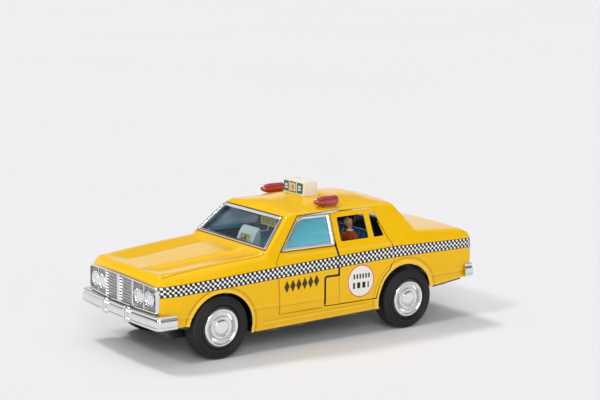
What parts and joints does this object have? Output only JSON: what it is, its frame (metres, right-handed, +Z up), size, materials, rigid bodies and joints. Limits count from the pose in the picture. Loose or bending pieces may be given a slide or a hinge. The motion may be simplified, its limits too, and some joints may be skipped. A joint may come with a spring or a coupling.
{
  "type": "friction toy car",
  "caption": "Pressed tin toy saloon taxi with plated trim, an opening rear door and a flywheel friction drive on the rear axle.",
  "frame": {"origin": "centre of the footprint, on the surface the tyres stand on", "axes": "front faces -Y, the car's left side with the opening door is +X, +Z is up"},
  "size_m": [0.0948, 0.2466, 0.0952],
  "materials": {
    "yellow_tin": "gloss lithographed tinplate",
    "black_tin": "satin",
    "blue_tin": "gloss lithographed tinplate",
    "deep_blue_tin": "gloss lithographed tinplate",
    "plated": "bright plated plastic",
    "steel": "bright",
    "tinplate": "raw tinplate",
    "brass": "bright",
    "lead": "dull",
    "tyre_rubber": "matt",
    "dark_plastic": "matt",
    "hub_plastic": "satin",
    "red_plastic": "clear red",
    "cream_plastic": "satin",
    "green_print": "printed",
    "flag_print": "printed",
    "figure_paint": "printed",
    "clear_screen": "smoked clear plastic",
    "blue_screen": "pale blue clear plastic"
  },
  "bodies": {
    "chassis": {"body_shell": "yellow_tin", "base_pan": "black_tin", "grille": "plated", "front_bumper": "plated", "rear_bumper": "plated", "tail_lamps": "red_plastic", "windshield": "clear_screen", "windshield_frame": "plated", "rear_window": "clear_screen", "rear_window_frame": "plated", "front_window_left": "blue_screen", "front_window_right": "blue_screen", "window_frame_left": "plated", "window_frame_right": "plated", "roof_sign": "cream_plastic", "sign_label": "green_print", "roof_lamp_left": "red_plastic", "roof_lamp_right": "red_plastic", "interior_tray": "blue_tin", "front_seat": "blue_tin", "rear_seat": "deep_blue_tin", "passenger": "figure_paint", "fare_meter": "blue_tin", "meter_flag": "flag_print", "dashboard": "dark_plastic", "body_tabs": "yellow_tin", "door_hinge_bracket": "tinplate", "door_hinge_pin": "steel", "door_spring": "steel", "front_axle_bracket": "tinplate", "motor_plate_left": "tinplate", "motor_plate_right": "tinplate", "motor_spacers": "steel"},
    "rear_wheels": {"rear_axle": "steel", "axle_gear": "brass", "tyre_rear_left": "tyre_rubber", "tyre_rear_right": "tyre_rubber", "hub_rear_left": "hub_plastic", "hub_rear_right": "hub_plastic", "cap_rear_left": "plated", "cap_rear_right": "plated"},
    "front_wheels": {"front_axle": "steel", "tyre_front_left": "tyre_rubber", "tyre_front_right": "tyre_rubber", "hub_front_left": "hub_plastic", "hub_front_right": "hub_plastic", "cap_front_left": "plated", "cap_front_right": "plated"},
    "counter": {"counter_gear": "brass"},
    "flywheel_set": {"flywheel_shaft": "steel", "flywheel": "lead"},
    "door": {"door_rear_left": "yellow_tin", "door_hinge_leaf": "tinplate"}
  },
  "joints": [
    {"name": "rear_axle_spin", "type": "hinge", "parent": "chassis", "child": "rear_wheels", "pos_m": [0, 0.06625, 0.0195], "axis": [1, 0, 0], "continuous": true},
    {"name": "front_axle_spin", "type": "hinge", "parent": "chassis", "child": "front_wheels", "pos_m": [0, -0.07575, 0.0195], "axis": [1, 0, 0], "continuous": true},
    {"name": "counter_spin", "type": "hinge", "parent": "chassis", "child": "counter", "pos_m": [0, 0.05314, 0.02868], "axis": [1, 0, 0], "continuous": true},
    {"name": "flywheel_spin", "type": "hinge", "parent": "chassis", "child": "flywheel_set", "pos_m": [0, 0.03765, 0.03268], "axis": [1, 0, 0], "continuous": true},
    {"name": "door_hinge", "type": "hinge", "parent": "chassis", "child": "door", "pos_m": [0.0432, 0.013, 0.0485], "axis": [0, 0, -1], "range_deg": [0, 60], "stiffness_Nm_per_rad": 0.004, "springref_deg": -8.59}
  ],
  "couplings": [
    {"joint": "counter_spin", "follows": "rear_axle_spin", "ratio": -3},
    {"joint": "flywheel_spin", "follows": "rear_axle_spin", "ratio": 9}
  ]
}
